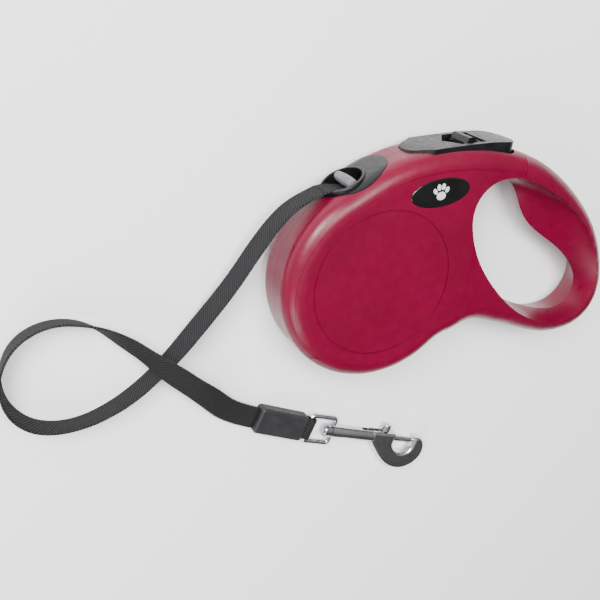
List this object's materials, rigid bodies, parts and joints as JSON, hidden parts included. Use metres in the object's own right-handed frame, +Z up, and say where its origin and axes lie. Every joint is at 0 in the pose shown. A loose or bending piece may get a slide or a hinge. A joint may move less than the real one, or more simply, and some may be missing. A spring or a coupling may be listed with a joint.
{
  "type": "retractable leash",
  "caption": "Retractable pet leash: rounded two-shell case with a hand opening, a thumb brake, and a flat tape that ends in a sleeve, a swivel ring and a bolt snap.",
  "frame": {"origin": "where the spool's axis meets the surface that the leash rests on", "axes": "+Z up out of the front face, +X from the round nose to the handle's end, +Y towards the thumb button"},
  "size_m": [0.2674, 0.166, 0.0284],
  "materials": {
    "crimson_plastic": "satin",
    "black_plastic": "satin",
    "badge_black": "gloss",
    "webbing": "woven",
    "sleeve_rubber": "matt",
    "chrome": "polished",
    "steel": "brushed",
    "grey_plastic": "satin"
  },
  "bodies": {
    "housing": {"front_shell": "crimson_plastic", "rear_shell": "crimson_plastic", "badge": "badge_black", "housing_screws": "steel", "mouth_insert": "black_plastic", "roller_pin": "steel", "spool_axle": "steel", "button_pin": "steel", "pawl_pin": "steel", "tape_inside": "webbing", "button_spring": "steel", "pawl_spring": "steel", "leash_tape": "webbing", "tape_sleeve": "sleeve_rubber", "tape_end_loop": "webbing"},
    "spool_body": {"spool": "grey_plastic", "spring_cover": "grey_plastic", "wound_tape": "webbing", "mainspring": "steel"},
    "roller_body": {"guide_roller": "grey_plastic"},
    "button_body": {"brake_button": "black_plastic"},
    "slider_body": {"lock_slider": "black_plastic"},
    "pawl_body": {"brake_pawl": "black_plastic"},
    "ring_body": {"swivel_ring": "chrome"},
    "hook_assembly": {"hook_body": "chrome", "swivel_stud": "chrome", "bolt_spring": "steel"},
    "bolt_body": {"hook_bolt": "chrome"}
  },
  "joints": [
    {"name": "spool_spin", "type": "hinge", "parent": "housing", "child": "spool_body", "pos_m": [0, 0, 0.014], "axis": [0, 0, 1], "continuous": true},
    {"name": "roller_spin", "type": "hinge", "parent": "housing", "child": "roller_body", "pos_m": [-0.01785, 0.03744, 0.014], "axis": [0, 0, 1], "continuous": true},
    {"name": "brake_press", "type": "hinge", "parent": "housing", "child": "button_body", "pos_m": [0.0085, 0.0462, 0.014], "axis": [0, 0, -1], "range_deg": [0, 4.5], "stiffness_Nm_per_rad": 1, "springref_deg": -4.58, "deforming": ["button_spring"]},
    {"name": "lock_slide", "type": "slide", "parent": "button_body", "child": "slider_body", "axis": [-0.9877, -0.1564, 0], "range_m": [0, 0.004]},
    {"name": "pawl_turn", "type": "hinge", "parent": "housing", "child": "pawl_body", "pos_m": [0.0115, 0.037, 0.0202], "axis": [0, 0, -1], "range_deg": [0, 5.04]},
    {"name": "ring_swing", "type": "hinge", "parent": "housing", "child": "ring_body", "pos_m": [-0.00586, -0.07999, 0.0032], "axis": [0.1994, 0.9799, 0], "range_deg": [-75, 75]},
    {"name": "hook_swivel", "type": "hinge", "parent": "ring_body", "child": "hook_assembly", "pos_m": [0.00786, -0.08278, 0.0032], "axis": [0.9799, -0.1994, 0], "continuous": true},
    {"name": "bolt_slide", "type": "slide", "parent": "hook_assembly", "child": "bolt_body", "axis": [-0.9799, 0.1994, 0], "range_m": [0, 0.012], "stiffness_N_per_m": 150, "springref_m": -0.01, "deforming": ["bolt_spring"]}
  ],
  "couplings": [
    {"joint": "pawl_turn", "follows": "brake_press", "ratio": 1.12}
  ]
}
